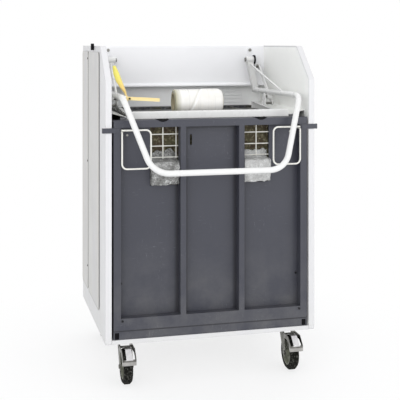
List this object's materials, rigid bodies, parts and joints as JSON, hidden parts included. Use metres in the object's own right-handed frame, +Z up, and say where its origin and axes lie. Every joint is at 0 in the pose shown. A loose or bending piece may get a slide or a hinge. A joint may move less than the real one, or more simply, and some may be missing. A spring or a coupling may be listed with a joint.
{
  "type": "recycling baler",
  "caption": "Manual baling press on casters: open-topped white housing, dark lift-out front door, bent tube lever that raises and lowers the press plate.",
  "frame": {"origin": "on the floor, under the middle of the whole machine", "axes": "+X to the right seen from the front, +Y to the back, +Z up"},
  "size_m": [1.04, 1.0045, 1.574],
  "materials": {
    "white_paint": "fine powder coat",
    "inner_paint": "satin powder coat",
    "lever_paint": "gloss powder coat",
    "chamber_steel": "dark enamel, rubbed by use",
    "dark_paint": "anthracite powder coat",
    "black_plastic": "moulded",
    "wire_coat": "coated wire",
    "yellow_plastic": "moulded grip",
    "film": "clear stretch film",
    "film_roll": "wound film",
    "cardboard": "card tube",
    "zinc": "zinc plate",
    "tyre_rubber": "moulded rubber",
    "hub_plastic": "grey moulded rim"
  },
  "bodies": {
    "housing": {"wall_left": "white_paint", "wall_right": "white_paint", "wall_liners": "inner_paint", "side_covers": "white_paint", "housing_screws": "white_paint", "black_trim": "black_plastic", "base_frame": "white_paint", "front_sill": "dark_paint", "chamber_floor": "chamber_steel", "chamber_sides": "chamber_steel", "chamber_rear": "chamber_steel", "chute_ledges": "inner_paint", "hood_panel": "white_paint", "recess_panel": "inner_paint", "rear_cover": "white_paint", "pivot_brackets": "white_paint", "pivot_pins": "zinc", "pivot_caps": "black_plastic", "swivel_plates": "zinc", "rear_forks": "zinc", "caster_bolts": "zinc"},
    "door": {"door_frame": "dark_paint", "door_skin": "dark_paint", "cover_plates": "dark_paint", "strap_guides": "black_plastic", "door_tabs": "dark_paint", "door_bolts": "black_plastic", "handle_loop_left": "wire_coat", "handle_loop_right": "wire_coat", "window_guards": "wire_coat", "film_wad_left": "film", "film_wad_right": "film"},
    "lever": {"lever_tube": "lever_paint", "tube_plugs": "black_plastic", "lever_struts": "lever_paint", "lever_braces": "lever_paint"},
    "release": {"release_lever": "yellow_plastic", "release_screw": "black_plastic"},
    "plate": {"plate_deck": "chamber_steel", "plate_beam": "lever_paint", "plate_lugs": "lever_paint", "lug_pins": "zinc", "film_roll": "film_roll", "roll_core": "cardboard"},
    "arm_left": {"swing_arm_left": "lever_paint"},
    "arm_right": {"swing_arm_right": "lever_paint"},
    "swivel_left": {"swivel_fork_left": "zinc", "front_axle_left": "zinc"},
    "pedal_left": {"brake_pedal_left": "zinc"},
    "front_wheel_left": {"tyre_front_left": "tyre_rubber", "hub_front_left": "hub_plastic"},
    "rear_wheel_left": {"tyre_rear_left": "tyre_rubber", "hub_rear_left": "hub_plastic"},
    "swivel_right": {"swivel_fork_right": "zinc", "front_axle_right": "zinc"},
    "pedal_right": {"brake_pedal_right": "zinc"},
    "front_wheel_right": {"tyre_front_right": "tyre_rubber", "hub_front_right": "hub_plastic"},
    "rear_wheel_right": {"tyre_rear_right": "tyre_rubber", "hub_rear_right": "hub_plastic"}
  },
  "joints": [
    {"name": "door_lift", "type": "slide", "parent": "housing", "child": "door", "axis": [0, 0, 1], "range_m": [0, 0.06]},
    {"name": "lever_hinge", "type": "hinge", "parent": "housing", "child": "lever", "pos_m": [0, 0.29975, 1.486], "axis": [-1, 0, 0], "range_deg": [0, 50]},
    {"name": "plate_hinge", "type": "hinge", "parent": "lever", "child": "plate", "pos_m": [0, 0.06975, 1.29817], "axis": [-1, 0, 0], "range_deg": [-50, 0]},
    {"name": "arm_left_hinge", "type": "hinge", "parent": "housing", "child": "arm_left", "pos_m": [-0.4348, 0.30975, 1.45], "axis": [-1, 0, 0], "range_deg": [0, 50]},
    {"name": "arm_right_hinge", "type": "hinge", "parent": "housing", "child": "arm_right", "pos_m": [0.4348, 0.30975, 1.45], "axis": [-1, 0, 0], "range_deg": [0, 50]},
    {"name": "release_hinge", "type": "hinge", "parent": "lever", "child": "release", "pos_m": [-0.402, -0.30525, 1.303], "axis": [1, 0, 0], "range_deg": [0, 25], "stiffness_Nm_per_rad": 2, "springref_deg": -17.19},
    {"name": "swivel_left_turn", "type": "hinge", "parent": "housing", "child": "swivel_left", "pos_m": [-0.401, -0.25025, 0.19], "axis": [0, 0, 1], "continuous": true},
    {"name": "front_wheel_left_spin", "type": "hinge", "parent": "swivel_left", "child": "front_wheel_left", "pos_m": [-0.401, -0.29525, 0.08], "axis": [1, 0, 0], "continuous": true},
    {"name": "pedal_left_hinge", "type": "hinge", "parent": "swivel_left", "child": "pedal_left", "pos_m": [-0.401, -0.26825, 0.162], "axis": [1, 0, 0], "range_deg": [0, 8]},
    {"name": "rear_wheel_left_spin", "type": "hinge", "parent": "housing", "child": "rear_wheel_left", "pos_m": [-0.401, 0.39975, 0.08], "axis": [1, 0, 0], "continuous": true},
    {"name": "swivel_right_turn", "type": "hinge", "parent": "housing", "child": "swivel_right", "pos_m": [0.401, -0.25025, 0.19], "axis": [0, 0, 1], "continuous": true},
    {"name": "front_wheel_right_spin", "type": "hinge", "parent": "swivel_right", "child": "front_wheel_right", "pos_m": [0.401, -0.29525, 0.08], "axis": [1, 0, 0], "continuous": true},
    {"name": "pedal_right_hinge", "type": "hinge", "parent": "swivel_right", "child": "pedal_right", "pos_m": [0.401, -0.26825, 0.162], "axis": [1, 0, 0], "range_deg": [0, 8]},
    {"name": "rear_wheel_right_spin", "type": "hinge", "parent": "housing", "child": "rear_wheel_right", "pos_m": [0.401, 0.39975, 0.08], "axis": [1, 0, 0], "continuous": true}
  ],
  "couplings": [
    {"joint": "plate_hinge", "follows": "lever_hinge", "ratio": -1},
    {"joint": "arm_left_hinge", "follows": "lever_hinge", "ratio": 1},
    {"joint": "arm_right_hinge", "follows": "lever_hinge", "ratio": 1}
  ]
}
